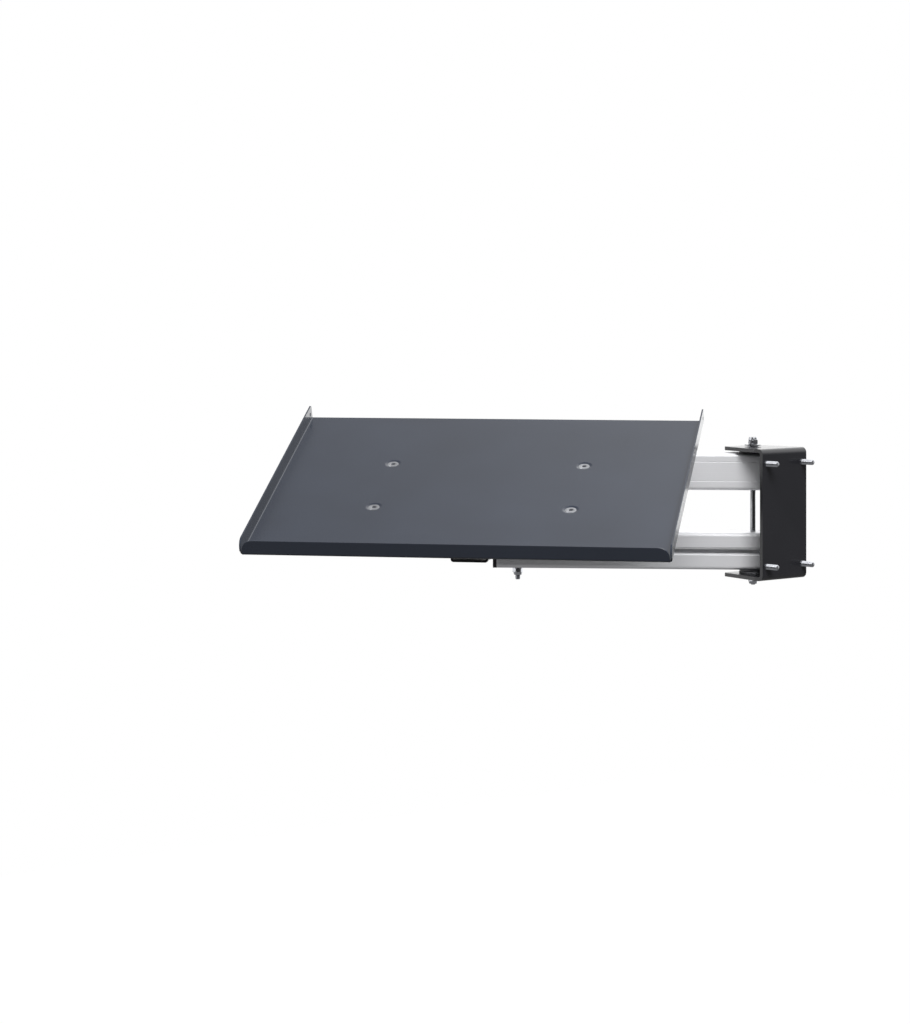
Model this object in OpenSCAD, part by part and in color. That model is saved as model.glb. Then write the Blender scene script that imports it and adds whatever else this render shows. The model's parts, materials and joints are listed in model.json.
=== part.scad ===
// Swing-arm keyboard tray: a folded sheet tray that tilts and swivels on a twin-beam arm.
// The arm swings on a folded bracket that bolts to an upright or a wall.
// Millimetres. The origin is the middle of the bracket's mounting face, which looks along +X.
// The model stands as photographed: the arm swung out, the tray turned across it and tilted.

/* [Tray] */
// Width of the tray over its side lips
tray_width = 425; // [300:5:600]
// Depth of the tray from its front lip to its rear edge
tray_depth = 320; // [240:5:420]
// Thickness of the tray's sheet
tray_sheet = 1.5; // [1:0.1:2]
// Height of the three lips over the underside of the floor
lip_height = 16; // [10:0.5:25]
// Radius of the rounded ends of the front lip
front_lip_round = 11; // [4:0.5:12]
// Radius of the rounded rear ends of the side lips
rear_lip_round = 3; // [2:0.5:9]
// Depth of the stiffening edge folded down along the rear
rear_edge_depth = 10; // [6:0.5:14]
// Diameter of the hole near the rear end of each side lip
lip_hole_d = 4.5; // [3:0.5:6]
// Distance between the tray's screws across the tray
screw_pitch_across = 200; // [100:5:220]
// Distance between the tray's screws from front to rear
screw_pitch_deep = 100; // [75:5:120]
// Distance of the screw pattern's middle from the inside of the front lip
screws_from_lip = 156.5; // [120:0.5:200]

/* [Pose] */
// Angle of the arm from the straight-out direction of the bracket
arm_swing = 45; // [0:1:90]
// Angle of the tray's front from the arm's outward direction
tray_turn = 84.1; // [0:0.1:90]
// Tilt of the tray, front edge down
tray_tilt = 22.1; // [0:0.1:32]

/* [Bracket] */
// Width of the bracket at its mounting face
bracket_width = 68; // [64:1:90]
// Width of the bracket's flanges at their tips
bracket_tip_width = 50; // [44:1:60]
// Height between the bracket's flanges
bracket_inner_height = 133; // [131:0.5:150]
// Thickness of the bracket's plate
bracket_plate = 4; // [2:0.5:5]
// Distance of the pivot from the mounting face
pivot_stand_off = 47; // [44:1:70]
// Length of the flanges past the pivot
flange_past_pivot = 20.5; // [18:0.5:30]
// Sideways distance between the mounting bolts
mount_pitch_across = 55; // [50:1:56]
// Upright distance between the mounting bolts
mount_pitch_tall = 110; // [80:1:112]
// Length of each mounting bolt past the mounting face
stud_length = 16; // [10:1:30]

/* [Arm] */
// Distance between the two vertical pivots
arm_reach = 256; // [220:1:400]
// Side of the square aluminium beams
beam_side = 40; // [36:1:42]
// Gap between the upper and the lower beam
beam_gap = 46; // [44:0.5:48]
// Length of each beam past a pivot, without its end cap
beam_past_pivot = 22; // [18:1:24]
// Width of the slots in the beams
slot_width = 4.6; // [4:0.2:8.2]
// Thickness of the end caps
cap_thickness = 4; // [2:0.5:6]
// Thickness of the disc under the lower beam
lower_disc = 4.5; // [3:0.25:6]

/* [Carrier] */
// Outside width of the carrier channel
channel_width = 38; // [34:1:44]
// Thickness of the channel's sheet
channel_sheet = 2.5; // [2:0.25:3]
// Distance of the tilt hinge from the outer pivot
hinge_reach = 231.4; // [225:0.2:260]
// Height of the tilt hinge above the bracket's middle
hinge_height = 9.9; // [6:0.1:12]
// Depth of the tilt hinge under the tray's floor
hinge_drop = 30; // [28:0.5:36]
// Distance of the tilt hinge ahead of the screw pattern's middle
hinge_ahead = 11.5; // [0:0.5:20]
// Distance between the tilt hinge and the clamp bolt
clamp_radius = 32; // [28:1:36]
// Thickness of the plate under the tray
plate_thickness = 3; // [3:0.25:4]

/* [Hardware] */
// Diameter of the pivot rods and bolts
rod_d = 6; // [5:0.5:6]
// Running clearance round a rod in its bush
running_clearance = 0.05; // [0.02:0.01:0.1]
// Clearance round a rod or bolt in a plain hole
hole_clearance = 0.3; // [0.2:0.05:0.4]
// Distance across the flats of the nuts
nut_flats = 10; // [8:0.5:10]

/* [Hidden] */
$fn = 48;

rod_r = rod_d / 2;
hole_r = rod_r + hole_clearance;
bush_bore_r = rod_r + running_clearance;
thread_play = 0.02;
fit_play = 0.05;
slack = 0.5;

// Bracket
bracket_length = pivot_stand_off + flange_past_pivot;
bracket_bend = 6;
bracket_tip_round = 4;
bracket_top = bracket_inner_height / 2 + bracket_plate;
head_r = 5.5;
head_height = 3.3;
socket_flats = 4;
neck_r = rod_r + hole_clearance - fit_play;

// Arm heights: the lower disc carries the stack and the upper disc fills what is left
lower_beam_bottom = -bracket_inner_height / 2 + lower_disc;
lower_beam_top = lower_beam_bottom + beam_side;
upper_beam_bottom = lower_beam_top + beam_gap;
upper_beam_top = upper_beam_bottom + beam_side;
upper_disc = bracket_inner_height / 2 - upper_beam_top;
beam_length = arm_reach + 2 * beam_past_pivot;
beam_round = 4;
cap_round = 3;
slot_round = 0.8;
slot_step = 1.4;
slot_step_depth = 1.2;
slot_mouth_width = slot_width + 2 * slot_step;
beam_wall = 2.4;
slot_lip = 3;
slot_chamber_width = 16;
slot_chamber_depth = 8;
cavity_inset = 10.5;
groove_offset = 10.4;
groove_size = 0.5;
disc_r = 15;
disc_barrel_r = 5;
disc_barrel_length = 12;
disc_groove = 0.8;
disc_groove_depth = 1.2;
peg_length = 8;

// Nuts and washers
nut_hex_height = 5.5;
nut_collar_height = 2.5;
nut_height = nut_hex_height + nut_collar_height;
wide_washer_r = 9;
wide_washer = 1.2;
small_washer_r = 6;
small_washer = 1;
outer_washer = 1;
pivot_rod_end = 1;
outer_rod_end = 5;

// Swivel block and its bushes
bush_flange = 1.5;
bush_flange_r = 11;
bush_r = 6;
bush_length = 14;
block_bottom = lower_beam_top + bush_flange;
block_top = upper_beam_bottom - bush_flange;
block_back = 14;
block_front = 17;
block_screw_x = 11;
block_screw_r = 2.5;
block_screw_depth = 9;
block_screw_head_r = 4.7;
block_screw_head = 2.7;
block_screw_height = 6;

// Carrier channel
channel_inner = channel_width - 2 * channel_sheet;
channel_bend = 3;
channel_gap_clearance = 3;
channel_past_hinge = 60;
shoulder_past_hinge = 14;
channel_front = hinge_reach + channel_past_hinge;
channel_droop = 2.16;
channel_top = upper_beam_bottom - channel_gap_clearance;
channel_bottom = lower_beam_top + channel_gap_clearance;
channel_nose_height = -2;
channel_shoulder = hinge_reach + shoulder_past_hinge;

// Tilt bracket and plate
bracket_sheet = 2.5;
tilt_bracket_width = channel_inner - 2 * slack;
floor_under = hinge_drop - tray_sheet;
plate_under = floor_under - plate_thickness;
plate_margin = 14;
plate_width = screw_pitch_across + 2 * plate_margin;
plate_depth = screw_pitch_deep + 2 * plate_margin;
plate_round = 10;
saddle_front = 36;
saddle_rear = -52;
saddle_rivet_x = [-34, 22];
saddle_rivet_y = 8;
rivet_r = 2.5;
rivet_head_r = 4.5;
rivet_head = 2;
clamp_rise = 5;
tilt_flat = 0;
tilt_steep = 32;
cheek_reach = 8.5;
hinge_spacer_r = 6;
bolt_head_height = 4;

// Tray
bend_inner = 1;
bend_outer = bend_inner + tray_sheet;
lip_gap = 1;
corner_gap = 0.7;
half_width = tray_width / 2;
front_inside = screws_from_lip;
rear_edge = front_inside + tray_sheet - tray_depth;
lip_top = lip_height - tray_sheet;
dish_r = 8.5;
dish_depth = 0.5;
cone_r = 6.1;
cone_bottom = 3.3;
screw_head_r = 5.8;
screw_head_drop = 0.6;
boss_r = 9;
boss_foot_r = 4.6;
boss_depth = 4.3;
screw_length = 16;
flange_nut_r = 6.5;
flange_nut_foot = 1.5;
lip_hole_back = 8.6;
lip_hole_up = 7;
side_lip_round = 8.5;

over = 1;
far = 1000;

// Points of an arc, for outlines that are rounded at a corner
function arc_points(centre, r, from, to, steps = 8) = [
    for (i = [0 : steps]) centre + r * [cos(from + (to - from) * i / steps), sin(from + (to - from) * i / steps)]
];

// Frames: each one stands where its piece stands, turned as the piece is turned
module arm_frame() {
    translate([-pivot_stand_off, 0, 0])
        rotate([0, 0, 180 + arm_swing])
            children();
}

module swivel_frame() {
    arm_frame()
        translate([arm_reach, 0, 0])
            rotate([0, 0, tray_turn])
                children();
}

// Hinge axis at the origin, +X to the tray's front, +Z square to its floor
module tilt_frame() {
    swivel_frame()
        translate([hinge_reach, 0, hinge_height])
            rotate([0, tray_tilt, 0])
                children();
}

// Middle of the screw pattern on top of the tray's floor
module tray_frame() {
    tilt_frame()
        translate([-hinge_ahead, 0, hinge_drop])
            children();
}

// Shared pieces of hardware, all standing up from z = 0
module nyloc_nut() {
    difference() {
        union() {
            cylinder(d = nut_flats / cos(30), h = nut_hex_height, $fn = 6);
            translate([0, 0, nut_hex_height])
                cylinder(r1 = nut_flats / 2 - 0.2, r2 = rod_r + 1, h = nut_collar_height);
        }
        translate([0, 0, -over])
            cylinder(r = rod_r + thread_play, h = nut_height + 2 * over);
    }
}

module washer(r, thickness, bore_r = rod_r + thread_play) {
    difference() {
        cylinder(r = r, h = thickness);
        translate([0, 0, -over])
            cylinder(r = bore_r, h = thickness + 2 * over);
    }
}

// Domed head with a hex socket, above z = 0, and its shank below
module button_bolt(r, length, dome_r, dome) {
    cap_radius = (dome_r * dome_r + dome * dome) / (2 * dome);
    difference() {
        union() {
            intersection() {
                translate([0, 0, dome - cap_radius])
                    sphere(r = cap_radius);
                cylinder(r = dome_r, h = dome);
            }
            translate([0, 0, -length])
                cylinder(r = r, h = length + dome / 3);
        }
        translate([0, 0, dome * 0.4])
            cylinder(d = r * 1.35 / cos(30), h = dome, $fn = 6);
    }
}

// Rod with small chamfers, from one height to another
module rod(from, to) {
    chamfer = 0.7;
    translate([0, 0, from])
        cylinder(r1 = rod_r - chamfer, r2 = rod_r, h = chamfer);
    translate([0, 0, from + chamfer])
        cylinder(r = rod_r, h = to - from - 2 * chamfer);
    translate([0, 0, to - chamfer])
        cylinder(r1 = rod_r, r2 = rod_r - chamfer, h = chamfer);
}

// Wall bracket
module bracket_side() {
    inner_bend = bracket_bend - bracket_plate;
    difference() {
        translate([-bracket_length, -bracket_top])
            square([bracket_length, 2 * bracket_top]);
        translate([-bracket_length - over, -bracket_inner_height / 2])
            square([bracket_length - bracket_plate - inner_bend + over, bracket_inner_height]);
        translate([-bracket_length, -bracket_inner_height / 2 + inner_bend])
            square([bracket_length - bracket_plate, bracket_inner_height - 2 * inner_bend]);
        for (s = [-1, 1])
            translate([-bracket_plate - inner_bend, s * (bracket_inner_height / 2 - inner_bend)])
                circle(r = inner_bend);
        for (s = [-1, 1])
            difference() {
                translate([-bracket_bend, s > 0 ? bracket_top - bracket_bend : -bracket_top - over])
                    square([bracket_bend + over, bracket_bend + over]);
                translate([-bracket_bend, s * (bracket_top - bracket_bend)])
                    circle(r = bracket_bend);
            }
    }
}

module bracket_plan() {
    tip = -bracket_length;
    y = bracket_tip_width / 2;
    r = bracket_tip_round;
    lean = atan2((bracket_width - bracket_tip_width) / 2, bracket_length - 2 * bracket_bend);
    polygon(concat(
        [[over, -bracket_width / 2], [over, bracket_width / 2], [-2 * bracket_bend, bracket_width / 2]],
        arc_points([tip + r, y - r], r, 90 + lean, 180),
        arc_points([tip + r, -y + r], r, 180, 270 - lean),
        [[-2 * bracket_bend, -bracket_width / 2]]
    ));
}

module wall_bracket() {
    color("dimgray")
        difference() {
            intersection() {
                rotate([90, 0, 0])
                    linear_extrude(height = bracket_width, center = true)
                        bracket_side();
                linear_extrude(height = 4 * bracket_top, center = true)
                    bracket_plan();
            }
            translate([-pivot_stand_off, 0, 0])
                cylinder(r = rod_r + thread_play, h = 4 * bracket_top, center = true);
            for (y = [-1, 1], z = [-1, 1])
                translate([0, y * mount_pitch_across / 2, z * mount_pitch_tall / 2])
                    rotate([0, 90, 0])
                        cylinder(r = neck_r + thread_play, h = 4 * bracket_plate, center = true);
        }
}

// Each bolt has a thicker neck that fills its hole in the bracket
module mounting_bolts() {
    color("silver")
        for (y = [-1, 1], z = [-1, 1])
            translate([-bracket_plate, y * mount_pitch_across / 2, z * mount_pitch_tall / 2])
                rotate([0, -90, 0]) {
                    button_bolt(rod_r, bracket_plate + stud_length, head_r, head_height);
                    translate([0, 0, -bracket_plate])
                        cylinder(r = neck_r, h = bracket_plate + head_height / 4);
                }
}

// Inner pivot
module pivot_rod() {
    color("silver")
        arm_frame()
            rod(-bracket_top - nut_height - pivot_rod_end, bracket_top + small_washer + wide_washer + nut_height);
}

module pivot_spring_washer() {
    color("gray")
        arm_frame()
            translate([0, 0, bracket_top])
                washer(small_washer_r, small_washer);
}

module pivot_wide_washer() {
    color("silver")
        arm_frame()
            translate([0, 0, bracket_top + small_washer])
                washer(wide_washer_r, wide_washer);
}

module pivot_top_nut() {
    color("silver")
        arm_frame()
            translate([0, 0, bracket_top + small_washer + wide_washer])
                nyloc_nut();
}

module pivot_bottom_nut() {
    color("silver")
        arm_frame()
            translate([0, 0, -bracket_top])
                mirror([0, 0, 1])
                    nyloc_nut();
}

// Flanged plastic disc between a beam and a flange of the bracket, its barrel inside the beam
module thrust_disc(thickness) {
    difference() {
        union() {
            cylinder(r = disc_r, h = thickness);
            translate([0, 0, thickness - over])
                cylinder(r = disc_barrel_r, h = disc_barrel_length + over);
        }
        translate([0, 0, -over])
            cylinder(r = bush_bore_r, h = thickness + disc_barrel_length + 2 * over);
        translate([0, 0, (thickness - disc_groove) / 2])
            washer(disc_r + over, disc_groove, disc_r - disc_groove_depth);
    }
}

module upper_thrust_disc() {
    color("gray")
        arm_frame()
            translate([0, 0, bracket_inner_height / 2])
                mirror([0, 0, 1])
                    thrust_disc(upper_disc);
}

module lower_thrust_disc() {
    color("gray")
        arm_frame()
            translate([0, 0, -bracket_inner_height / 2])
                thrust_disc(lower_disc);
}

// Beam profile: square tube with a slot on two opposite sides and fine grooves on the others
module beam_profile() {
    half = beam_side / 2;
    difference() {
        rounded_square(beam_side, beam_round);
        for (s = [-1, 1]) {
            translate([s * half, 0])
                square([2 * slot_lip + over, slot_width], center = true);
            slot_mouth(s);
            translate([s * (half - slot_lip - slot_chamber_depth / 2), 0])
                square([slot_chamber_depth, slot_chamber_width], center = true);
            translate([0, s * (half - beam_wall + cavity_inset) / 2])
                square([beam_side - 2 * beam_wall, half - beam_wall - cavity_inset], center = true);
            for (g = [-1, 1])
                translate([g * groove_offset, s * half])
                    rotate([0, 0, 45])
                        square(groove_size * sqrt(2), center = true);
        }
    }
}

// Stepped mouth of a slot, with rounded edges
module slot_mouth(s) {
    translate([s * beam_side / 2, 0])
        square([2 * slot_step_depth, slot_mouth_width], center = true);
    difference() {
        translate([s * beam_side / 2, 0])
            square([2 * slot_round, slot_mouth_width + 2 * slot_round], center = true);
        for (g = [-1, 1])
            translate([s * (beam_side / 2 - slot_round), g * (slot_mouth_width / 2 + slot_round)])
                circle(r = slot_round);
    }
}

module rounded_square(side, r) {
    inner = side - 2 * r;
    square([side, inner], center = true);
    square([inner, side], center = true);
    for (x = [-1, 1], y = [-1, 1])
        translate([x * inner / 2, y * inner / 2])
            circle(r = r);
}

// Beam along +X of the arm's frame, standing on z = 0
module beam(turn, barrel_from_top) {
    difference() {
        translate([-beam_past_pivot, 0, beam_side / 2])
            rotate([90, 0, 90])
                linear_extrude(height = beam_length)
                    rotate([0, 0, turn])
                        beam_profile();
        for (x = [0, arm_reach])
            translate([x, 0, -over])
                cylinder(r = hole_r, h = beam_side + 2 * over);
        translate([0, 0, barrel_from_top ? beam_side - disc_barrel_length - slack : -over])
            cylinder(r = disc_barrel_r + fit_play, h = disc_barrel_length + slack + over);
    }
}

module upper_beam() {
    color("silver")
        arm_frame()
            translate([0, 0, upper_beam_bottom])
                beam(90, true);
}

module lower_beam() {
    color("silver")
        arm_frame()
            translate([0, 0, lower_beam_bottom])
                beam(0, false);
}

// End cap with two pegs that plug into the beam; the cap faces +X from x = 0
module end_cap(turn) {
    peg_wide = beam_side - 2 * beam_wall - 2 * slack;
    peg_tall = beam_side / 2 - beam_wall - cavity_inset - 2 * slack;
    peg_middle = (beam_side / 2 - beam_wall + cavity_inset) / 2;
    rotate([90, 0, 90]) {
        linear_extrude(height = cap_thickness)
            rounded_square(beam_side, cap_round);
        rotate([0, 0, turn])
            for (s = [-1, 1])
                translate([0, s * peg_middle, -peg_length / 2])
                    cube([peg_wide, peg_tall, peg_length + 0.2], center = true);
    }
}

module placed_cap(x, outward, base, turn) {
    color("black")
        arm_frame()
            translate([x, 0, base + beam_side / 2])
                rotate([0, 0, outward])
                    end_cap(turn);
}

module upper_inner_cap() {
    placed_cap(-beam_past_pivot, 180, upper_beam_bottom, 90);
}

module upper_outer_cap() {
    placed_cap(arm_reach + beam_past_pivot, 0, upper_beam_bottom, 90);
}

module lower_inner_cap() {
    placed_cap(-beam_past_pivot, 180, lower_beam_bottom, 0);
}

module lower_outer_cap() {
    placed_cap(arm_reach + beam_past_pivot, 0, lower_beam_bottom, 0);
}

// Outer pivot
module outer_frame() {
    arm_frame()
        translate([arm_reach, 0, 0])
            children();
}

module outer_rod() {
    color("silver")
        outer_frame()
            rod(
                lower_beam_bottom - outer_washer - nut_height - outer_rod_end,
                upper_beam_top + outer_washer + nut_height + outer_rod_end
            );
}

module outer_rod_nuts() {
    color("silver")
        outer_frame() {
            translate([0, 0, upper_beam_top + outer_washer])
                nyloc_nut();
            translate([0, 0, lower_beam_bottom - outer_washer])
                mirror([0, 0, 1])
                    nyloc_nut();
        }
}

module outer_rod_washers() {
    color("silver")
        outer_frame() {
            translate([0, 0, upper_beam_top])
                washer(small_washer_r, outer_washer);
            translate([0, 0, lower_beam_bottom - outer_washer])
                washer(small_washer_r, outer_washer);
        }
}

// Swivel block that turns on the outer rod, with a flanged bush in each end
module swivel_block() {
    color("dimgray")
        swivel_frame()
            difference() {
                translate([-block_back, -channel_inner / 2, block_bottom])
                    cube([block_back + block_front, channel_inner, block_top - block_bottom]);
                translate([0, 0, block_bottom - over])
                    cylinder(r = bush_r + fit_play, h = block_top - block_bottom + 2 * over);
                for (x = [-1, 1], s = [-1, 1])
                    translate([block_screw_spot(x), s * channel_inner / 2, block_screw_height * x])
                        rotate([90, 0, 0])
                            cylinder(r = block_screw_r + thread_play, h = 2 * block_screw_depth + over, center = true);
            }
}

function block_screw_spot(side) = side > 0 ? block_screw_x : -block_screw_x + 1;

module swivel_bush() {
    difference() {
        union() {
            cylinder(r = bush_flange_r, h = bush_flange);
            cylinder(r = bush_r, h = bush_flange + bush_length);
        }
        translate([0, 0, -over])
            cylinder(r = bush_bore_r, h = bush_flange + bush_length + 2 * over);
    }
}

module upper_swivel_bush() {
    color("ivory")
        swivel_frame()
            translate([0, 0, upper_beam_bottom])
                mirror([0, 0, 1])
                    swivel_bush();
}

module lower_swivel_bush() {
    color("ivory")
        swivel_frame()
            translate([0, 0, lower_beam_top])
                swivel_bush();
}

module block_screws() {
    color("silver")
        swivel_frame()
            for (x = [-1, 1], s = [-1, 1])
                translate([block_screw_spot(x), s * channel_width / 2, block_screw_height * x])
                    rotate([-90 * s, 0, 0])
                        button_bolt(block_screw_r, channel_sheet + block_screw_depth - slack, block_screw_head_r, block_screw_head);
}

// Carrier channel: a folded U, open at the top, that droops a little towards its front
module channel_section() {
    half = channel_width / 2;
    tall = 2 * (channel_top - channel_bottom);
    inner_bend = channel_bend - channel_sheet;
    difference() {
        u_outline(half, channel_bend, tall);
        translate([0, channel_sheet])
            u_outline(half - channel_sheet, inner_bend, tall);
    }
}

// Upright outline with rounded lower corners, standing on y = 0
module u_outline(half, r, tall) {
    translate([-half, r])
        square([2 * half, tall]);
    translate([-half + r, 0])
        square([2 * (half - r), r + over]);
    for (s = [-1, 1])
        translate([s * (half - r), r])
            circle(r = r);
}

module channel_outline() {
    deep = channel_bottom - far / 10;
    polygon([
        [-block_back, deep], [-block_back, channel_top], [channel_shoulder, channel_top],
        [channel_front, channel_nose_height], [channel_front, deep]
    ]);
}

module carrier_channel() {
    color("dimgray")
        swivel_frame()
            difference() {
                intersection() {
                    translate([0, 0, channel_bottom])
                        rotate([0, channel_droop, 0])
                            rotate([90, 0, 90])
                                linear_extrude(height = 2.5 * channel_front, center = true)
                                    channel_section();
                    rotate([90, 0, 0])
                        linear_extrude(height = 2 * channel_width, center = true)
                            channel_outline();
                }
                translate([-far / 2 + block_front + slack, 0, channel_bottom])
                    cube([far, channel_inner, 4 * channel_sheet + 2 * block_back * sin(channel_droop)], center = true);
                for (x = [-1, 1])
                    translate([block_screw_spot(x), 0, block_screw_height * x])
                        rotate([90, 0, 0])
                            cylinder(r = block_screw_r + thread_play, h = 2 * channel_width, center = true);
                translate([hinge_reach, 0, hinge_height])
                    rotate([90, 0, 0])
                        cylinder(r = rod_r + thread_play, h = 2 * channel_width, center = true);
                clamp_spot()
                    cylinder(r = rod_r + thread_play, h = 2 * channel_width, center = true);
            }
}

// Place of the clamp bolt on the channel, along the hinge's direction
module clamp_spot() {
    translate([hinge_reach, 0, hinge_height])
        rotate([0, clamp_rise, 0])
            translate([-clamp_radius, 0, 0])
                rotate([90, 0, 0])
                    children();
}

// Hex-head bolt along +Z, its head under z = -grip / 2
module cross_bolt(grip) {
    translate([0, 0, -grip / 2 - bolt_head_height])
        cylinder(d = nut_flats / cos(30), h = bolt_head_height, $fn = 6);
    translate([0, 0, -grip / 2 - over])
        cylinder(r = rod_r, h = grip + nut_height + 2 + over);
}

module hinge_spot() {
    swivel_frame()
        translate([hinge_reach, 0, hinge_height])
            rotate([90, 0, 0])
                children();
}

module tilt_bolt() {
    color("silver")
        hinge_spot()
            cross_bolt(channel_width);
}

module tilt_nut() {
    color("silver")
        hinge_spot()
            translate([0, 0, channel_width / 2])
                nyloc_nut();
}

module clamp_bolt() {
    color("silver")
        swivel_frame()
            clamp_spot()
                cross_bolt(channel_width + 2 * wide_washer);
}

module clamp_nut() {
    color("silver")
        swivel_frame()
            clamp_spot()
                translate([0, 0, channel_width / 2 + wide_washer])
                    nyloc_nut();
}

module clamp_washers() {
    color("silver")
        swivel_frame()
            clamp_spot()
                for (s = [-1, 1])
                    translate([0, 0, s * (channel_width + wide_washer) / 2 - wide_washer / 2])
                        washer(small_washer_r + 1, wide_washer);
}

// Tilt bracket: a folded U, open at the bottom, inside the channel
module cheek_outline() {
    slot_from = 180 - clamp_rise + tilt_flat;
    slot_to = 180 - clamp_rise + tilt_steep;
    reach = clamp_radius + cheek_reach;
    top = plate_under;
    polygon(concat(
        [[saddle_rear, top], [saddle_rear, top - 8]],
        arc_points([0, 0], reach, slot_from, slot_to + 12),
        arc_points([0, 0], cheek_reach + 3, 250, 330),
        [[saddle_front, top - 8], [saddle_front, top]]
    ));
}

module clamp_slot() {
    slot_from = 180 - clamp_rise + tilt_flat - 1;
    slot_to = 180 - clamp_rise + tilt_steep + 1;
    inner = clamp_radius - hole_r;
    outer = clamp_radius + hole_r;
    polygon(concat(
        arc_points([0, 0], outer, slot_from, slot_to, 12),
        arc_points(clamp_radius * [cos(slot_to), sin(slot_to)], hole_r, slot_to, slot_to + 180),
        arc_points([0, 0], inner, slot_to, slot_from, 12),
        arc_points(clamp_radius * [cos(slot_from), sin(slot_from)], hole_r, slot_from + 180, slot_from + 360)
    ));
}

module tilt_bracket() {
    half = tilt_bracket_width / 2;
    color("dimgray")
        tilt_frame()
            difference() {
                intersection() {
                    rotate([90, 0, 90])
                        translate([0, plate_under])
                            mirror([0, 1])
                                linear_extrude(height = 2 * clamp_radius * 2, center = true)
                                    difference() {
                                        u_outline(half, channel_bend, 2 * hinge_drop + clamp_radius);
                                        translate([0, bracket_sheet])
                                            u_outline(half - bracket_sheet, channel_bend - bracket_sheet, far / 5);
                                    }
                    rotate([90, 0, 0])
                        linear_extrude(height = 2 * tilt_bracket_width, center = true)
                            difference() {
                                cheek_outline();
                                clamp_slot();
                            }
                }
                rotate([90, 0, 0])
                    cylinder(r = bush_bore_r, h = 2 * tilt_bracket_width, center = true);
                saddle_rivets()
                    cylinder(r = rivet_r + thread_play, h = 2 * hinge_drop, center = true);
            }
}

module saddle_rivets() {
    for (x = saddle_rivet_x, s = [-1, 1])
        translate([x, s * saddle_rivet_y, plate_under])
            children();
}

module bracket_rivets() {
    color("silver")
        tilt_frame()
            saddle_rivets() {
                translate([0, 0, -bracket_sheet])
                    cylinder(r = rivet_r, h = bracket_sheet + plate_thickness - fit_play);
                translate([0, 0, -bracket_sheet - rivet_head])
                    cylinder(r1 = rivet_head_r - 1.5, r2 = rivet_head_r, h = rivet_head);
            }
}

module hinge_spacer() {
    color("silver")
        tilt_frame()
            rotate([90, 0, 0])
                translate([0, 0, -tilt_bracket_width / 2 + bracket_sheet])
                    washer(hinge_spacer_r, tilt_bracket_width - 2 * bracket_sheet, bush_bore_r);
}

// Plate under the tray
module screw_spots() {
    for (x = [-1, 1], y = [-1, 1])
        translate([x * screw_pitch_deep / 2, y * screw_pitch_across / 2, 0])
            children();
}

module mount_plate() {
    color("dimgray")
        tray_frame()
            difference() {
                translate([0, 0, -tray_sheet - plate_thickness])
                    linear_extrude(height = plate_thickness)
                        plate_outline();
                screw_spots()
                    translate([0, 0, -tray_sheet - plate_thickness])
                        cylinder(r1 = boss_foot_r + 0.2, r2 = boss_r + 0.2, h = plate_thickness);
                screw_spots()
                    cylinder(r = boss_foot_r + 0.2, h = 4 * plate_thickness, center = true);
                translate([hinge_ahead, 0, -hinge_drop])
                    saddle_rivets()
                        cylinder(r = rivet_r + thread_play, h = hinge_drop, center = true);
            }
}

module plate_outline() {
    inner_x = plate_depth - 2 * plate_round;
    inner_y = plate_width - 2 * plate_round;
    square([plate_depth, inner_y], center = true);
    square([inner_x, plate_width], center = true);
    for (x = [-1, 1], y = [-1, 1])
        translate([x * inner_x / 2, y * inner_y / 2])
            circle(r = plate_round);
}

// Tray
module side_section() {
    difference() {
        u_outline(half_width, bend_outer, lip_height - bend_outer);
        translate([0, tray_sheet])
            u_outline(half_width - tray_sheet, bend_inner, lip_height);
    }
}

// Outline of the side lips, seen from the side: rounded ends, and a slanted corner over the front bend
module side_lip_outline() {
    front = front_inside + tray_sheet;
    top = lip_top;
    polygon(concat(
        [[rear_edge, -tray_sheet - over], [rear_edge, 0]],
        arc_points([rear_edge + rear_lip_round, top - rear_lip_round], rear_lip_round, 180, 90),
        arc_points([front - side_lip_round, top - side_lip_round], side_lip_round, 90, 0),
        [[front, bend_inner + bend_outer], [front - bend_outer, bend_inner], [front - bend_outer, -tray_sheet - over]]
    ));
}

module folded_sides() {
    intersection() {
        translate([0, 0, -tray_sheet])
            rotate([90, 0, 90])
                linear_extrude(height = 2 * tray_depth, center = true)
                    side_section();
        rotate([90, 0, 0])
            linear_extrude(height = 2 * tray_width, center = true)
                side_lip_outline();
    }
}

// Front lip: the bend and the lip, both between the side lips
module folded_front() {
    bend_half = half_width - tray_sheet - corner_gap;
    bend_x = front_inside - bend_inner;
    translate([0, bend_half, 0])
        rotate([90, 0, 0])
            linear_extrude(height = 2 * bend_half)
                difference() {
                    translate([bend_x, bend_inner])
                        circle(r = bend_outer);
                    translate([bend_x, bend_inner])
                        circle(r = bend_inner);
                    translate([bend_x - far, -far / 2])
                        square([far, far]);
                    translate([bend_x - far / 2, bend_inner])
                        square([far, far]);
                }
    translate([front_inside, 0, 0])
        rotate([90, 0, 90])
            linear_extrude(height = tray_sheet)
                front_lip_outline();
}

module front_lip_outline() {
    r = front_lip_round;
    half = half_width - tray_sheet - corner_gap;
    polygon(concat(
        [[-half, bend_inner], [half, bend_inner]],
        arc_points([half - r, lip_top - r], r, 0, 90),
        arc_points([-half + r, lip_top - r], r, 90, 180)
    ));
}

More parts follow.
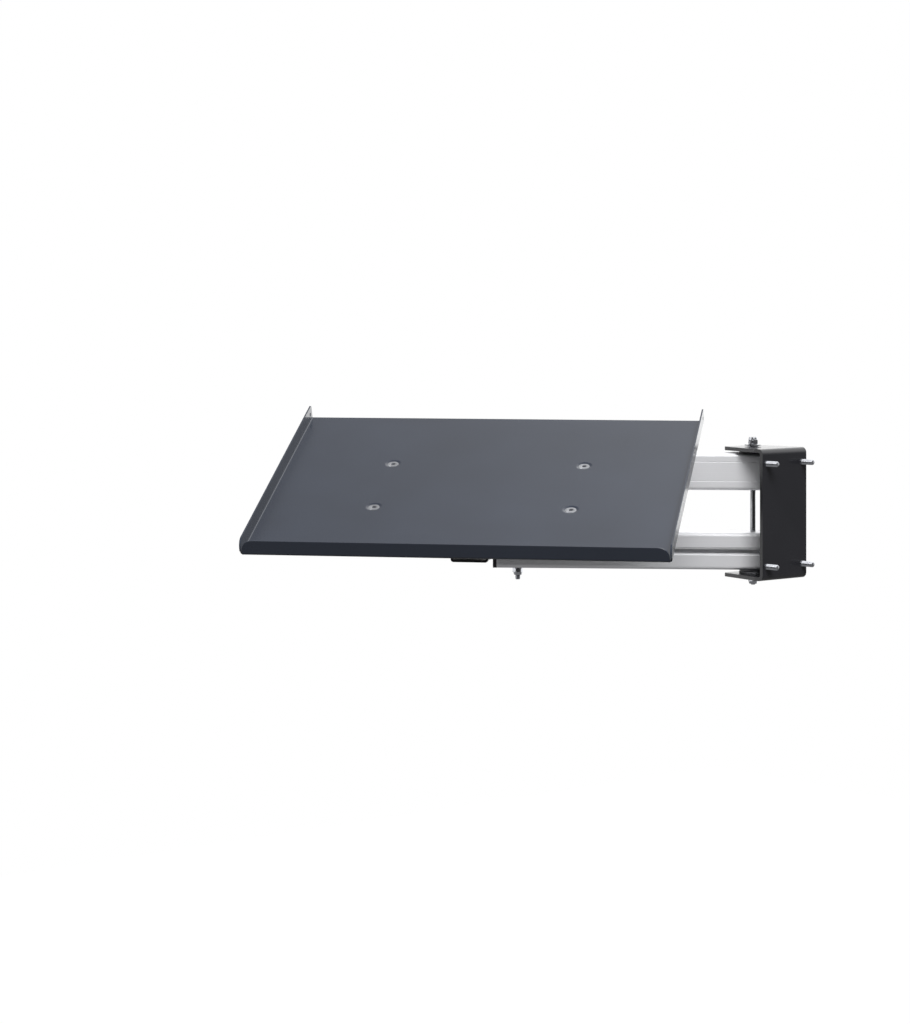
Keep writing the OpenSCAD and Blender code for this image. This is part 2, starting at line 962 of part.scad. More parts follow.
module tray() {
    color("darkslategray")
        tray_frame()
            difference() {
                union() {
                    folded_sides();
                    folded_front();
                    translate([rear_edge, -half_width + bend_outer + lip_gap, -rear_edge_depth])
                        cube([tray_sheet, tray_width - 2 * (bend_outer + lip_gap), rear_edge_depth - tray_sheet / 2]);
                    screw_spots()
                        translate([0, 0, -boss_depth])
                            cylinder(r1 = boss_foot_r, r2 = boss_r, h = boss_depth - tray_sheet);
                }
                screw_spots() {
                    translate([0, 0, -dish_depth])
                        cylinder(r1 = cone_r, r2 = dish_r, h = dish_depth);
                    translate([0, 0, -cone_bottom])
                        cylinder(r1 = hole_r, r2 = cone_r, h = cone_bottom - dish_depth);
                    cylinder(r = dish_r, h = over);
                    cylinder(r = hole_r, h = 4 * boss_depth, center = true);
                }
                translate([rear_edge + lip_hole_back, 0, lip_hole_up])
                    rotate([90, 0, 0])
                        cylinder(d = lip_hole_d, h = 2 * tray_width, center = true);
            }
}

// Countersunk screws that hold the tray to its plate, and their flanged nuts
module tray_screws() {
    cone = screw_head_r - rod_r;
    color("silver")
        tray_frame()
            screw_spots()
                difference() {
                    union() {
                        translate([0, 0, -screw_head_drop - cone])
                            cylinder(r1 = rod_r, r2 = screw_head_r, h = cone);
                        translate([0, 0, -screw_length])
                            cylinder(r = rod_r, h = screw_length - screw_head_drop - cone);
                    }
                    translate([0, 0, -screw_head_drop - 2])
                        cylinder(d = socket_flats / cos(30), h = 4, $fn = 6);
                }
}

module tray_nuts() {
    color("silver")
        tray_frame()
            screw_spots()
                translate([0, 0, -tray_sheet - plate_thickness])
                    mirror([0, 0, 1])
                        difference() {
                            union() {
                                cylinder(r = flange_nut_r, h = flange_nut_foot);
                                cylinder(d = nut_flats / cos(30), h = nut_hex_height, $fn = 6);
                            }
                            translate([0, 0, -over])
                                cylinder(r = rod_r + thread_play, h = nut_height + 2 * over);
                        }
}

wall_bracket();
mounting_bolts();
pivot_rod();
pivot_top_nut();
pivot_wide_washer();
pivot_spring_washer();
pivot_bottom_nut();
upper_thrust_disc();
lower_thrust_disc();
upper_beam();
lower_beam();
upper_inner_cap();
upper_outer_cap();
lower_inner_cap();
lower_outer_cap();
outer_rod();
outer_rod_nuts();
outer_rod_washers();
swivel_block();
upper_swivel_bush();
lower_swivel_bush();
carrier_channel();
block_screws();
tilt_bolt();
tilt_nut();
clamp_bolt();
clamp_nut();
clamp_washers();
tray();
mount_plate();
tilt_bracket();
bracket_rivets();
hinge_spacer();
tray_screws();
tray_nuts();
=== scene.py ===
"""Looks of the swing-arm keyboard tray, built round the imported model, which is a fixed frame."""

import json
import math

import bpy
from mathutils import Matrix, Vector


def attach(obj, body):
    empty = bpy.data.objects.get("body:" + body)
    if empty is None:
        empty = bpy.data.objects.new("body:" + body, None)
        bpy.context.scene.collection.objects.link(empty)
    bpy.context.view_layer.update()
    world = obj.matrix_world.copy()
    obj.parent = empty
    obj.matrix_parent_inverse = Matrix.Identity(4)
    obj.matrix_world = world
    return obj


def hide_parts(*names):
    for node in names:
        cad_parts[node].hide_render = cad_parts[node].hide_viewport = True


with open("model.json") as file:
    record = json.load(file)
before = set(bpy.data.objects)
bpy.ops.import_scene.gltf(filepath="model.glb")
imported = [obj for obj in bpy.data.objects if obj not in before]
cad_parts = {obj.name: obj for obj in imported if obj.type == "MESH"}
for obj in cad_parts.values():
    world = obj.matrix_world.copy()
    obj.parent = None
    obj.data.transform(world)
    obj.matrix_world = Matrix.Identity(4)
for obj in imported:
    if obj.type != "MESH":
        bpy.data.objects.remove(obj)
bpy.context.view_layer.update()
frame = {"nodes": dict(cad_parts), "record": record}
nodes = frame["nodes"]

# Sizes of the part in metres and degrees, as in its source
PIVOT_OUT = 0.047
ARM_REACH = 0.256
ARM_TURN = 180 + 45
TRAY_TURN = 84.1
HINGE_REACH = 0.2314
HINGE_HEIGHT = 0.0099
TRAY_TILT = 22.1
HINGE_AHEAD = 0.0115
HINGE_DROP = 0.030
ROD_R = 0.003
BRACKET_PLATE = 0.004
BRACKET_TOP = 0.0705
LOWER_BOTTOM = -0.062
UPPER_TOP = 0.064
NUT_HEIGHT = 0.008
NUT_HEX = 0.0055
NUT_FLATS = 0.010
PIVOT_ROD_END = 0.001
OUTER_ROD_END = 0.005
SMALL_WASHER_R = 0.006
CLAMP_WASHER_R = 0.007
WIDE_WASHER_R = 0.009
SPRING_WASHER = 0.001
WIDE_WASHER = 0.0012
OUTER_WASHER = 0.001
MOUNT_PITCH = (0.055, 0.110)
STUD_LENGTH = 0.016
CHANNEL_WIDTH = 0.038
BLOCK_SCREWS = ((0.011, 0.006), (-0.010, -0.006))
CLAMP_RADIUS = 0.032
CLAMP_RISE = 5
BOLT_TAIL = NUT_HEIGHT + 0.002
TRAY_SHEET = 0.0015
PLATE_THICKNESS = 0.003
PLATE_UNDER = HINGE_DROP - TRAY_SHEET - PLATE_THICKNESS
RIVETS_X = (-0.034, 0.022)
RIVETS_Y = (-0.008, 0.008)
SCREW_PITCH = (0.100, 0.200)
SCREW_DROP = 0.0006
SCREW_LENGTH = 0.016

# Details of the hardware that only this script shows
BORE_R = 0.0031
HEX_CORNER_R = 0.0058
TIP_R = 0.0001
THREAD_PAST_SEAT = 0.0005
BOLT_NECK_R = ROD_R + 0.00025
BLOCK_SCREW_R = 0.0025
MOUTH_SHARE = 0.66
TRAY_SOCKET = 0.004

# Camera of the photograph, fitted to it
SENSOR = 36
LENS = 101.43
CAMERA_AT = (2.142, -2.2678, 0.248)
CAMERA_TURN = 49.9
SHIFT_X = 0.0008
SHIFT_Y = -0.2236


def turn(angle, axis):
    return Matrix.Rotation(math.radians(angle), 4, axis)


def move(x, y, z):
    return Matrix.Translation((x, y, z))


arm_frame = move(-PIVOT_OUT, 0, 0) @ turn(ARM_TURN, "Z")
outer_frame = arm_frame @ move(ARM_REACH, 0, 0)
swivel_frame = outer_frame @ turn(TRAY_TURN, "Z")
hinge_frame = swivel_frame @ move(HINGE_REACH, 0, HINGE_HEIGHT)
tilt_frame = hinge_frame @ turn(TRAY_TILT, "Y")
tray_frame = tilt_frame @ move(-HINGE_AHEAD, 0, HINGE_DROP)
flip = turn(180, "X")


# Shader helpers
class Nodes:
    """A shader node tree, emptied and then filled node by node."""

    def __init__(self, tree):
        self.tree = tree
        tree.nodes.clear()

    def feed(self, value, socket):
        """Set an input to a value, or link another node's output to it."""
        if isinstance(value, bpy.types.NodeSocket):
            self.tree.links.new(value, socket)
        else:
            socket.default_value = value

    def add(self, kind, *inputs, **values):
        """A node with inputs given in order, and properties or further inputs by name."""
        node = self.tree.nodes.new(kind)
        for socket, value in zip(node.inputs, inputs):
            self.feed(value, socket)
        for key, value in values.items():
            if hasattr(node, key):
                setattr(node, key, value)
            else:
                self.feed(value, node.inputs[key.replace("_", " ")])
        return node

    def compute(self, operation, *inputs):
        return self.add("ShaderNodeMath", *inputs, operation=operation).outputs[0]

    def span(self, value, start, end, low, high, easing="LINEAR"):
        """A value between start and end, mapped to between low and high."""
        limits = (start, end, low, high)
        return self.add("ShaderNodeMapRange", value, *limits, interpolation_type=easing).outputs[0]

    def mix(self, share, first, second):
        return self.add("ShaderNodeMixShader", share, first, second).outputs[0]


class Finish(Nodes):
    """A material with one principled shader, textured by position on the object."""

    def __init__(self, name, **values):
        self.material = bpy.data.materials.new(name)
        self.material.use_nodes = True
        super().__init__(self.material.node_tree)
        self.surface = self.add("ShaderNodeBsdfPrincipled", **values)
        self.add("ShaderNodeOutputMaterial", self.surface.outputs[0])
        self.where = self.add("ShaderNodeTexCoord").outputs["Object"]

    def noise(self, scale, detail=2, where=None):
        where = self.where if where is None else where
        return self.add("ShaderNodeTexNoise", where, Scale=scale, Detail=detail).outputs[0]

    def shade(self, texture, color, low, high):
        """Base colour that drifts with a texture, from a low to a high share of one colour."""
        ramp = self.add("ShaderNodeValToRGB", texture)
        for element, at, share in zip(ramp.color_ramp.elements, (0.3, 0.7), (low, high)):
            element.position = at
            element.color = (*(part * share for part in color), 1)
        self.feed(ramp.outputs[0], self.surface.inputs["Base Color"])

    def roughen(self, texture, roughness, low, high):
        """Roughness that drifts with a texture, from a low to a high share of one value."""
        drift = self.span(texture, 0, 1, roughness * low, roughness * high)
        self.feed(drift, self.surface.inputs["Roughness"])

    def bump(self, texture, strength, distance, over=None):
        """Fine relief, laid over an earlier one where that is given."""
        relief = self.add("ShaderNodeBump", Strength=strength, Distance=distance, Height=texture)
        if over is not None:
            self.feed(over, relief.inputs["Normal"])
        self.feed(relief.outputs[0], self.surface.inputs["Normal"])
        return relief.outputs[0]


# Materials
def powder_coat(name, color, roughness):
    """Powder-coated sheet: a fine orange-peel skin whose tone and gloss drift slightly."""
    s = Finish(name, IOR=1.45)
    s.shade(s.noise(9), color, 0.9, 1.1)
    s.roughen(s.noise(45, detail=3), roughness, 0.88, 1.14)
    peel = s.bump(s.noise(900, detail=1), strength=0.14, distance=0.00008)
    s.bump(s.noise(2600, detail=1), strength=0.07, distance=0.00004, over=peel)
    return s.material


def anodised(name, color, roughness):
    """Clear-anodised extrusion: satin, with faint drawing lines along the arm."""
    s = Finish(name, Metallic=0.58)
    inverse = arm_frame.inverted()
    along = s.add("ShaderNodeMapping", s.where, inverse.to_translation(), inverse.to_euler())
    drawn = s.add("ShaderNodeMapping", along.outputs[0], Scale=(0.4, 1500, 1500))
    lines = s.noise(1, where=drawn.outputs[0])
    s.shade(lines, color, 0.97, 1.03)
    s.roughen(s.noise(25), roughness, 0.92, 1.12)
    s.bump(lines, strength=0.06, distance=0.00002)
    return s.material


def plated(name, color, roughness):
    """Zinc-plated steel: bright, with faint cloudy patches."""
    s = Finish(name, Metallic=1.0)
    s.shade(s.noise(160, detail=3), color, 0.85, 1.08)
    s.roughen(s.noise(420, detail=3), roughness, 0.7, 1.35)
    s.bump(s.noise(1800), strength=0.08, distance=0.00004)
    return s.material


def moulded(name, color, roughness):
    """Moulded plastic with a fine spark-eroded texture."""
    s = Finish(name)
    s.shade(s.noise(30), color, 0.88, 1.12)
    s.roughen(s.noise(200), roughness, 0.88, 1.12)
    s.bump(s.noise(1500), strength=0.25, distance=0.00008)
    return s.material


FINISHES = {
    "tray_coat": (powder_coat, (0.0195, 0.0242, 0.036), 0.22),
    "bracket_coat": (powder_coat, (0.014, 0.014, 0.0165), 0.2),
    "anodised": (anodised, (0.84, 0.84, 0.86), 0.38),
    "zinc": (plated, (0.5, 0.51, 0.54), 0.15),
    "dark_zinc": (plated, (0.42, 0.425, 0.44), 0.22),
    "black_plastic": (moulded, (0.012, 0.012, 0.013), 0.42),
    "grey_plastic": (moulded, (0.22, 0.225, 0.24), 0.3),
    "nylon": (moulded, (0.5, 0.53, 0.56), 0.5),
}
materials = {
    name: finish(name, color, roughness)
    for name, (finish, color, roughness) in FINISHES.items()
}

slots = {part["node"]: part["material_slot"] for part in frame["record"]["subparts"]}
for name, part in nodes.items():
    part.data.materials.clear()
    part.data.materials.append(materials[slots[name]])

# Small rounded edges on sheet, turned and moulded pieces, which catch the light as real edges do
EDGE_WIDTHS = {
    "tray": 0.0003,
    "wall_bracket": 0.0004,
    "carrier_channel": 0.0004,
    "tilt_bracket": 0.0003,
    "mount_plate": 0.0004,
    "swivel_block": 0.0008,
    "upper_thrust_disc": 0.0003,
    "lower_thrust_disc": 0.0003,
    "upper_swivel_bush": 0.0003,
    "lower_swivel_bush": 0.0003,
    "upper_inner_cap": 0.0007,
    "upper_outer_cap": 0.0007,
    "lower_inner_cap": 0.0007,
    "lower_outer_cap": 0.0007,
}
EDGE_ANGLE = 35
WELD_REACH = 1e-6

for name, width in EDGE_WIDTHS.items():
    part = nodes[name]
    weld = part.modifiers.new("weld", "WELD")
    weld.merge_threshold = WELD_REACH
    bevel = part.modifiers.new("edges", "BEVEL")
    bevel.width = width
    bevel.segments = 3 if name.endswith("cap") else 2
    bevel.limit_method = "ANGLE"
    bevel.angle_limit = math.radians(EDGE_ANGLE)
    bevel.use_clamp_overlap = True
    flat = part.modifiers.new("flat_faces", "WEIGHTED_NORMAL")
    flat.mode = "FACE_AREA"
    flat.weight = 100
    flat.keep_sharp = True

# Mesh builder: a part is a list of points and a list of faces
RING_POINTS = 48
THREAD_POINTS = 24
THREAD_STEPS = 8
SHARP_ANGLE = 32
CORNERS = [(a, b) for a in (-0.5, 0.5) for b in (-0.5, 0.5)]


def ring(r, z, flats=None):
    """Ring of radius r at height z, cut by a hexagon where flats is given."""
    points = []
    for i in range(RING_POINTS):
        angle = 2 * math.pi * i / RING_POINTS
        reach = r
        if flats is not None:
            off = (angle + math.pi / 6) % (math.pi / 3) - math.pi / 6
            reach = min(r, flats / 2 / math.cos(off))
        points.append((reach * math.cos(angle), reach * math.sin(angle), z))
    return points


def skin(rings, loop=False):
    """Part over rings that all have the same count, as a closed loop or with end caps."""
    count = len(rings[0])
    points = [point for one in rings for point in one]
    faces = []
    for i in range(len(rings) if loop else len(rings) - 1):
        a = i * count
        b = (i + 1) % len(rings) * count
        for j in range(count):
            k = (j + 1) % count
            faces.append((a + j, a + k, b + k, b + j))
    if not loop:
        faces.append(tuple(reversed(range(count))))
        faces.append(tuple(range(len(points) - count, len(points))))
    return points, faces


def turned(profile, loop=False):
    """Part turned about Z, over stops of radius, height and, for a hexagon, its flats."""
    return skin([ring(*stop) for stop in profile], loop)


def thread(profile, pitch=0.001, depth=0.00055):
    """Rod over stops of height, radius and the share of its depth that a helical thread has."""
    stops = []
    for (z0, r0, s0), (z1, r1, s1) in zip(profile, profile[1:]):
        threaded = max(s0, s1) > 0
        steps = max(1, round(abs(z1 - z0) / (pitch / THREAD_STEPS))) if threaded else 1
        for i in range(steps):
            t = i / steps
            stops.append((z0 + (z1 - z0) * t, r0 + (r1 - r0) * t, s0 + (s1 - s0) * t))
    stops.append(profile[-1])
    rings = []
    for z, r, share in stops:
        points = []
        for i in range(THREAD_POINTS):
            wave = 0.5 + 0.5 * math.cos(2 * math.pi * (z / pitch - i / THREAD_POINTS))
            reach = r - depth * share * wave
            angle = 2 * math.pi * i / THREAD_POINTS
            points.append((reach * math.cos(angle), reach * math.sin(angle), z))
        rings.append(points)
    return skin(rings)


def threaded_end(z_in, z_out, fade=0.0008):
    """Stops from a plain shank at z_in to a threaded, chamfered end at z_out."""
    way = 1 if z_out > z_in else -1
    return [
        (z_in, ROD_R, 0), (z_in + way * fade, ROD_R, 1), (z_out - way * 0.0009, ROD_R, 1),
        (z_out - way * 0.0001, ROD_R - 0.0006, 0.3), (z_out, ROD_R - 0.0008, 0),
    ]


def rod(low, plain_from, plain_to, high):
    """Rod that is plain in its middle and threaded to its two ends."""
    lower = threaded_end(plain_from, low, fade=0.001)
    return thread(lower[::-1] + threaded_end(plain_to, high))


def place(parts, *frames):
    """The same parts, moved by each of the matrices."""
    return [
        ([tuple(at @ Vector(point)) for point in points], faces)
        for at in frames for points, faces in parts
    ]


def make(name, parts, body, material):
    """One object from parts, which rides on a body."""
    points = []
    faces = []
    for some_points, some_faces in parts:
        base = len(points)
        points.extend(some_points)
        faces.extend(tuple(base + index for index in face) for face in some_faces)
    mesh = bpy.data.meshes.new(name)
    mesh.from_pydata(points, [], faces)
    mesh.validate()
    mesh.polygons.foreach_set("use_smooth", [True] * len(mesh.polygons))
    mesh.set_sharp_from_angle(angle=math.radians(SHARP_ANGLE))
    mesh.materials.append(materials[material])
    made = bpy.data.objects.new(name, mesh)
    bpy.context.collection.objects.link(made)
    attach(made, body)
    return made


def hardware(node, parts, body, material="zinc"):
    """Plated hardware that stands for its plain CAD node."""
    made = make(node + "_fine", parts, body, material)
    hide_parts(node)


def nylon_rings(name, body, *seats):
    """The rings inside lock nuts, which have no node of their own."""
    make(name, place([nylon_ring()], *seats), body, "nylon")


# Hardware, standing up from z = 0
def lock_nut():
    """Hexagon with rounded corners and a rolled collar over its nylon ring."""
    f = NUT_FLATS
    h = NUT_HEX
    top = NUT_HEIGHT
    return turned([
        (BORE_R, 0), (0.0046, 0), (0.0051, 0.0003, f), (HEX_CORNER_R, 0.0009, f),
        (HEX_CORNER_R, h - 0.0008, f), (0.0053, h - 0.0002, f), (0.0049, h, f),
        (0.00465, h + 0.0001), (0.00455, h + 0.0013), (0.0043, top - 0.0003),
        (0.0040, top - 0.00005), (0.0037, top), (0.00355, top - 0.0002),
        (0.0035, top - 0.0006), (BORE_R, top - 0.0006),
    ], loop=True)


def nylon_ring():
    inner = 0.00303
    outer = 0.0034
    top = NUT_HEIGHT
    return turned([
        (inner, top - 0.0022), (outer, top - 0.0022), (outer, top - 0.0004),
        (0.00325, top - 0.00025), (0.0031, top - 0.0003), (inner, top - 0.0005),
    ], loop=True)


def flange_nut():
    f = NUT_FLATS
    h = NUT_HEX
    return turned([
        (BORE_R, 0), (0.0063, 0), (0.0065, 0.0003), (0.0064, 0.0008), (0.0056, 0.0014, f + 0.0004),
        (HEX_CORNER_R, 0.0016, f), (HEX_CORNER_R, h - 0.0008, f), (0.0053, h - 0.0002, f),
        (0.0048, h), (0.0034, h), (BORE_R, h - 0.0003),
    ], loop=True)


def flat_washer(r, thickness):
    e = min(0.0002, thickness / 4)
    inner = ROD_R + 0.00015
    return turned([
        (inner, e), (inner + e, 0), (r - e, 0), (r, e), (r, thickness - e),
        (r - e, thickness), (inner + e, thickness), (inner, thickness - e),
    ], loop=True)


def spring_washer(r, thickness):
    """Split ring whose two ends meet a little apart in height."""
    sections = []
    steps = 44
    half_gap = 6
    wire = thickness * 0.8
    for i in range(steps + 1):
        angle = math.radians(half_gap + (360 - 2 * half_gap) * i / steps)
        rise = (thickness - wire) * i / steps
        corners = [(BORE_R, rise), (r, rise), (r, rise + wire), (BORE_R, rise + wire)]
        sections.append([(d * math.cos(angle), d * math.sin(angle), z) for d, z in corners])
    return skin(sections)


def socket(z, depth, flats):
    """Stops of a hexagon socket that opens at height z, from under its mouth to its coned end."""
    return [
        (1, z - 0.0001, flats + 0.0002), (1, z - 0.0004, flats), (1, z - depth, flats),
        (flats * 0.3, z - depth - 0.0004), (TIP_R, z - depth - 0.0007),
    ]


def domed_head(r, dome, flats):
    """Domed head on z = 0 with a hexagon socket."""
    sphere = (r * r + dome * dome) / (2 * dome)
    mouth = flats * MOUTH_SHARE
    steps = 7
    stops = [(r - 0.0002, 0), (r, 0.0002), (r, 0.0004)]
    for i in range(1, steps + 1):
        reach = r + (mouth - r) * i / steps
        rise = dome - sphere + math.sqrt(sphere * sphere - reach * reach)
        stops.append((reach, min(dome, rise + 0.0001)))
    return turned(stops + socket(stops[-1][1], dome * 0.55, flats))


def hex_bolt(grip):
    """Bolt along Z, centred on its grip: hexagon head below it, threaded end above."""
    f = NUT_FLATS
    low = -grip / 2
    head = turned([
        (TIP_R, low - 0.0036), (0.0038, low - 0.0036), (0.0044, low - 0.004),
        (0.0049, low - 0.0039, f), (HEX_CORNER_R, low - 0.0033, f),
        (HEX_CORNER_R, low - 0.0002, f), (0.0049, low, f), (TIP_R, low),
    ])
    end = threaded_end(grip / 2 - 0.003, grip / 2 + BOLT_TAIL)
    return [head, thread([(low, ROD_R, 0)] + end)]


# Mounting bolts: domed heads inside the bracket and threaded ends out of its back
neck = [(-BRACKET_PLATE, BOLT_NECK_R, 0), (0, BOLT_NECK_R, 0), (0, ROD_R, 0)]
bolt = [thread(neck + threaded_end(0.0008, STUD_LENGTH))]
bolt += place([domed_head(0.0055, 0.0033, 0.004)], move(0, 0, -BRACKET_PLATE) @ flip)
across, up = MOUNT_PITCH
spots = [move(0, side * across, level * up) @ turn(90, "Y") for side, level in CORNERS]
hardware("mounting_bolts", place(bolt, *spots), "bracket")

# Inner pivot: rod, nuts and washers
spring_seat = arm_frame @ move(0, 0, BRACKET_TOP)
wide_seat = spring_seat @ move(0, 0, SPRING_WASHER)
top_seat = wide_seat @ move(0, 0, WIDE_WASHER)
low_seat = arm_frame @ move(0, 0, -BRACKET_TOP) @ flip
pivot = rod(
    -BRACKET_TOP - NUT_HEIGHT - PIVOT_ROD_END,
    -BRACKET_TOP + THREAD_PAST_SEAT,
    BRACKET_TOP + SPRING_WASHER,
    BRACKET_TOP + SPRING_WASHER + WIDE_WASHER + NUT_HEIGHT,
)
hardware("pivot_rod", place([pivot], arm_frame), "bracket", "dark_zinc")
spring = spring_washer(SMALL_WASHER_R, SPRING_WASHER)
hardware("pivot_spring_washer", place([spring], spring_seat), "bracket")
washer = flat_washer(WIDE_WASHER_R, WIDE_WASHER)
hardware("pivot_wide_washer", place([washer], wide_seat), "bracket", "dark_zinc")
hardware("pivot_top_nut", place([lock_nut()], top_seat), "bracket")
hardware("pivot_bottom_nut", place([lock_nut()], low_seat), "bracket")
nylon_rings("pivot_nut_rings", "bracket", top_seat, low_seat)

# Outer pivot: rod, nuts and washers
past_seat = OUTER_WASHER + NUT_HEIGHT + OUTER_ROD_END
outer = rod(
    LOWER_BOTTOM - past_seat,
    LOWER_BOTTOM + THREAD_PAST_SEAT,
    UPPER_TOP - THREAD_PAST_SEAT,
    UPPER_TOP + past_seat,
)
hardware("outer_rod", place([outer], outer_frame), "arm")
seats = [outer_frame @ move(0, 0, UPPER_TOP), outer_frame @ move(0, 0, LOWER_BOTTOM) @ flip]
washer = flat_washer(SMALL_WASHER_R, OUTER_WASHER)
hardware("outer_rod_washers", place([washer], *seats), "arm")
nut_seats = [seat @ move(0, 0, OUTER_WASHER) for seat in seats]
turned_nut = place([lock_nut()], turn(20, "Z"))
hardware("outer_rod_nuts", place(turned_nut, *nut_seats), "arm")
nylon_rings("outer_rod_nut_rings", "arm", *nut_seats)

# Screws that hold the channel to the swivel block
shank = thread([
    (-0.011, 0.0017, 0), (-0.0105, BLOCK_SCREW_R, 0.5), (-0.003, BLOCK_SCREW_R, 1),
    (-0.0025, BLOCK_SCREW_R, 0), (0, BLOCK_SCREW_R, 0),
], pitch=0.0008, depth=0.0004)
screw = [domed_head(0.0047, 0.0027, 0.0033), shank]
spots = [
    swivel_frame @ move(x, side * CHANNEL_WIDTH / 2, level) @ turn(-90 * side, "X")
    for x, level in BLOCK_SCREWS for side in (-1, 1)
]
hardware("block_screws", place(screw, *spots), "swivel")

# Tilt hinge and clamp
crosswise = turn(90, "X")
hinge = hinge_frame @ crosswise
clamp = hinge_frame @ turn(CLAMP_RISE, "Y") @ move(-CLAMP_RADIUS, 0, 0) @ crosswise
clamp_grip = CHANNEL_WIDTH + 2 * WIDE_WASHER
tilt_seat = hinge @ move(0, 0, CHANNEL_WIDTH / 2)
clamp_seat = clamp @ move(0, 0, clamp_grip / 2)
washer_seats = [clamp @ move(0, 0, low) for low in (-clamp_grip / 2, CHANNEL_WIDTH / 2)]
washer = flat_washer(CLAMP_WASHER_R, WIDE_WASHER)
hardware("tilt_bolt", place(hex_bolt(CHANNEL_WIDTH), hinge), "swivel")
hardware("clamp_bolt", place(hex_bolt(clamp_grip), clamp), "swivel")
hardware("tilt_nut", place([lock_nut()], tilt_seat), "swivel")
hardware("clamp_nut", place([lock_nut()], clamp_seat), "swivel")
nylon_rings("tilt_nut_rings", "swivel", tilt_seat, clamp_seat)
hardware("clamp_washers", place([washer], *washer_seats), "swivel")

# Rivets of the tilt bracket, with a domed head below and a hollow middle
rivet = turned([
    (TIP_R, 0.0028), (0.0023, 0.0028), (0.0025, 0.0026), (0.0025, -0.0025), (0.0044, -0.0025),
    (0.0045, -0.0028), (0.0042, -0.0034), (0.0034, -0.0041), (0.0024, -0.0044),
    (0.0015, -0.0043), (0.0013, -0.0040), (0.0012, -0.0010), (TIP_R, -0.0008),
])
spots = [tilt_frame @ move(x, y, PLATE_UNDER) for x in RIVETS_X for y in RIVETS_Y]
hardware("bracket_rivets", place([rivet], *spots), "tray")

# Countersunk tray screws and their flanged nuts
top = -SCREW_DROP
head = turned([
    (TIP_R, top - 0.0032), (0.0028, top - 0.0032), (0.0030, top - 0.0028),
    (0.0056, top - 0.0003), (0.0057, top - 0.0001), (0.0056, top), (0.0040, top),
    (TRAY_SOCKET * MOUTH_SHARE, top),
] + socket(top, 0.0020, TRAY_SOCKET))
shank = thread([(-0.0035, ROD_R - 0.0001, 0)] + threaded_end(-0.0044, -SCREW_LENGTH))
length, width = SCREW_PITCH
spots = [tray_frame @ move(x * length, y * width, 0) for x, y in CORNERS]
under = move(0, 0, -TRAY_SHEET - PLATE_THICKNESS) @ flip
hardware("tray_screws", place([head, shank], *spots), "tray")
hardware("tray_nuts", place([flange_nut()], *(spot @ under for spot in spots)), "tray")

# Camera
camera_data = bpy.data.cameras.new("camera")
camera_data.sensor_width = SENSOR
camera_data.lens = LENS
camera_data.shift_x = SHIFT_X
camera_data.shift_y = SHIFT_Y
camera_data.clip_end = 100
camera = bpy.data.objects.new("camera", camera_data)
camera.location = CAMERA_AT
camera.rotation_euler = (math.radians(90), 0, math.radians(CAMERA_TURN))
bpy.context.collection.objects.link(camera)
scene = bpy.context.scene
scene.camera = camera

# World: white where it is seen, mirrored as a room of bright and dark sides, and plain grey
# light, stronger from above, for everything else
WHITE = (1, 1, 1, 1)
SKY_COLOR = (0.95, 0.97, 1.0, 1)
BRIGHT_SIDE = (-0.67, -0.02, 0.75)
RIGHT_WALL = (0.5, 0.86, 0.0)
LEFT_WALL = (-0.644, -0.765, 0.0)
UP = (0.0, 0.0, 1.0)

scene.view_settings.view_transform = "Standard"
scene.world = bpy.data.worlds.new("studio")
scene.world.use_nodes = True
studio = Nodes(scene.world.node_tree)
rays = studio.add("ShaderNodeLightPath").outputs
direction = studio.add("ShaderNodeTexCoord").outputs["Generated"]


def glow(side, start, end, low, high):
    """Strength that goes smoothly from low to high as a ray turns towards a side."""
    toward = studio.add("ShaderNodeVectorMath", direction, side, operation="DOT_PRODUCT")
    return studio.span(toward.outputs["Value"], start, end, low, high, "SMOOTHSTEP")


def background(color, strength):
    return studio.add("ShaderNodeBackground", color, strength).outputs[0]


bright_side = glow(BRIGHT_SIDE, -0.55, 0.1, 0.08, 1.0)
right_wall = glow(RIGHT_WALL, -0.1, 0.45, 0.4, 1.9)
left_wall = glow(LEFT_WALL, 0.5, 0.95, 0.0, 1.0)
room = studio.compute("ADD", studio.compute("MULTIPLY", bright_side, right_wall), left_wall)
light = background(SKY_COLOR, glow(UP, -0.25, 0.6, 0.05, 0.6))
glossy = studio.compute("MAXIMUM", rays["Is Glossy Ray"], rays["Is Transmission Ray"])
unseen = studio.mix(glossy, light, background(WHITE, room))
seen = studio.mix(rays["Is Camera Ray"], unseen, background(WHITE, 1.0))
studio.add("ShaderNodeOutputWorld", seen)

# Lamps: the key and the gleam are one softbox, of which mirror images show the gleam only
LAMPS_AIM = (-0.15, -0.25, 0.0)
KEY_AT = (2.1, -1.3, 2.5)


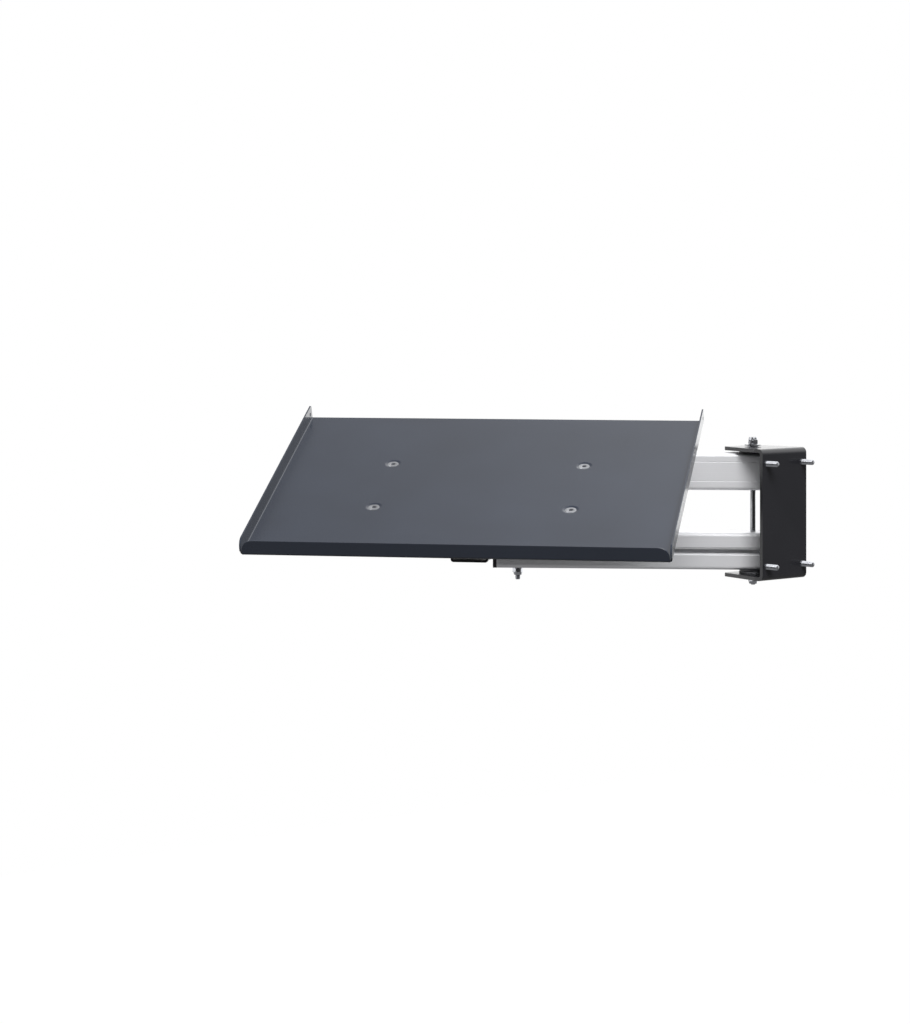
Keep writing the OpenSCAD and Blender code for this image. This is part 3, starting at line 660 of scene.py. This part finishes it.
def softbox(name, at, size, power, mirrored=True):
    data = bpy.data.lights.new(name, "AREA")
    data.shape = "RECTANGLE"
    data.size, data.size_y = size
    data.energy = power
    lamp = bpy.data.objects.new(name, data)
    lamp.location = at
    lamp.visible_glossy = mirrored
    lamp.rotation_euler = (Vector(LAMPS_AIM) - Vector(at)).to_track_quat("-Z", "Y").to_euler()
    bpy.context.collection.objects.link(lamp)


softbox("key", KEY_AT, (1.6, 1.4), 128, mirrored=False)
softbox("gleam", KEY_AT, (1.6, 1.4), 50)
softbox("fill", (2.5, -1.0, 1.3), (1.2, 1.2), 12)
softbox("top", (-0.6, 0.4, 2.4), (1.8, 1.8), 6, mirrored=False)
softbox("side", (-0.9, -2.4, 1.6), (1.2, 1.2), 16)

# Floor: plain grey to the light, and nearly white where it is seen
FLOOR_AT = (0, 0, -2.4)
FLOOR_REACH = 9
FLOOR_GREY = (0.12, 0.12, 0.12, 1)
FLOOR_GLOW = 1.17
SEEN_SHARE = 0.85
MIRRORED_SHARE = 0.15

floor_material = bpy.data.materials.new("floor")
floor_material.use_nodes = True
ground = Nodes(floor_material.node_tree)
rays = ground.add("ShaderNodeLightPath").outputs
grey = ground.add("ShaderNodeBsdfPrincipled", Base_Color=FLOOR_GREY, Roughness=0.9)
white = ground.add("ShaderNodeEmission", Strength=FLOOR_GLOW)
share = ground.compute("MULTIPLY", rays["Is Camera Ray"], SEEN_SHARE)
share = ground.compute("MULTIPLY_ADD", rays["Is Glossy Ray"], MIRRORED_SHARE, share)
surface = ground.mix(share, grey.outputs[0], white.outputs[0])
ground.add("ShaderNodeOutputMaterial", surface)

floor_mesh = bpy.data.meshes.new("floor")
corners = [(x * FLOOR_REACH, y * FLOOR_REACH, 0) for x, y in ((-1, -1), (1, -1), (1, 1), (-1, 1))]
floor_mesh.from_pydata(corners, [], [(0, 1, 2, 3)])
floor_mesh.materials.append(floor_material)
floor = bpy.data.objects.new("floor", floor_mesh)
floor.location = FLOOR_AT
bpy.context.collection.objects.link(floor)
